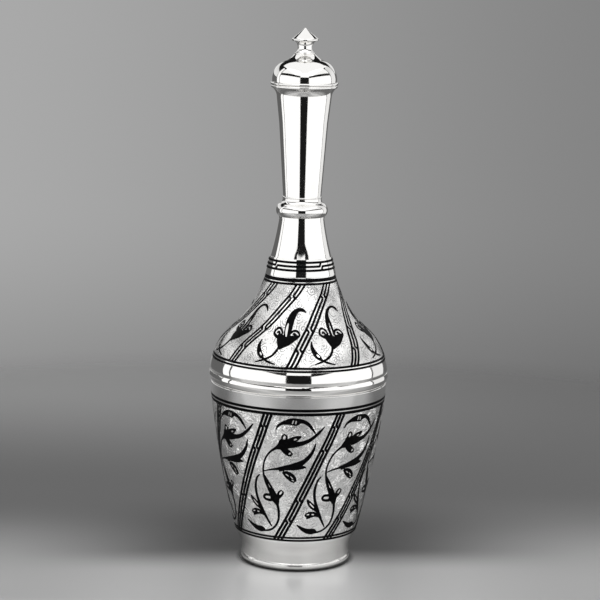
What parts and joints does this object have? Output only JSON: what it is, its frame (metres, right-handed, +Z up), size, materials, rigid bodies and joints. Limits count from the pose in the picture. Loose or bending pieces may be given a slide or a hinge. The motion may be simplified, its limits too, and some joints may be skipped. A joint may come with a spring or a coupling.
{
  "type": "lidded decanter",
  "caption": "Tall silver decanter with a tapered cup, bell shoulder, ringed slim neck and black niello vines, closed by a domed lid that lifts off with its cork.",
  "frame": {"origin": "centre of the flat ring that the foot stands on", "axes": "+Z up along the axis of the bottle; the ornament's front panel faces -Y"},
  "size_m": [0.0908, 0.0908, 0.27],
  "materials": {
    "polished_silver": "mirror polished silver",
    "ornamented_silver": "polished silver with fine engraved scrolls",
    "niello": "black niello inlay, smooth",
    "brass": "plain turned brass",
    "cork": "natural cork"
  },
  "bodies": {
    "bottle": {"foot_bead": "polished_silver", "foot_band": "polished_silver", "body_cup": "ornamented_silver", "belt_bead": "polished_silver", "belt_roll": "polished_silver", "shoulder": "ornamented_silver", "socket_band": "ornamented_silver", "lower_neck": "polished_silver", "neck_knop": "polished_silver", "knop_fillet": "polished_silver", "upper_neck": "polished_silver", "mouth_rim": "polished_silver"},
    "lid": {"lid_rim": "polished_silver", "lid_plate": "polished_silver", "lid_dome": "polished_silver", "finial_collar": "polished_silver", "finial": "polished_silver", "stopper_cork": "cork", "stud_washer": "brass", "stud_nut": "brass", "tie_stud": "brass"}
  },
  "joints": [
    {"name": "lid_lift", "type": "slide", "parent": "bottle", "child": "lid", "axis": [0, 0, 1], "range_m": [0, 0.06]}
  ]
}
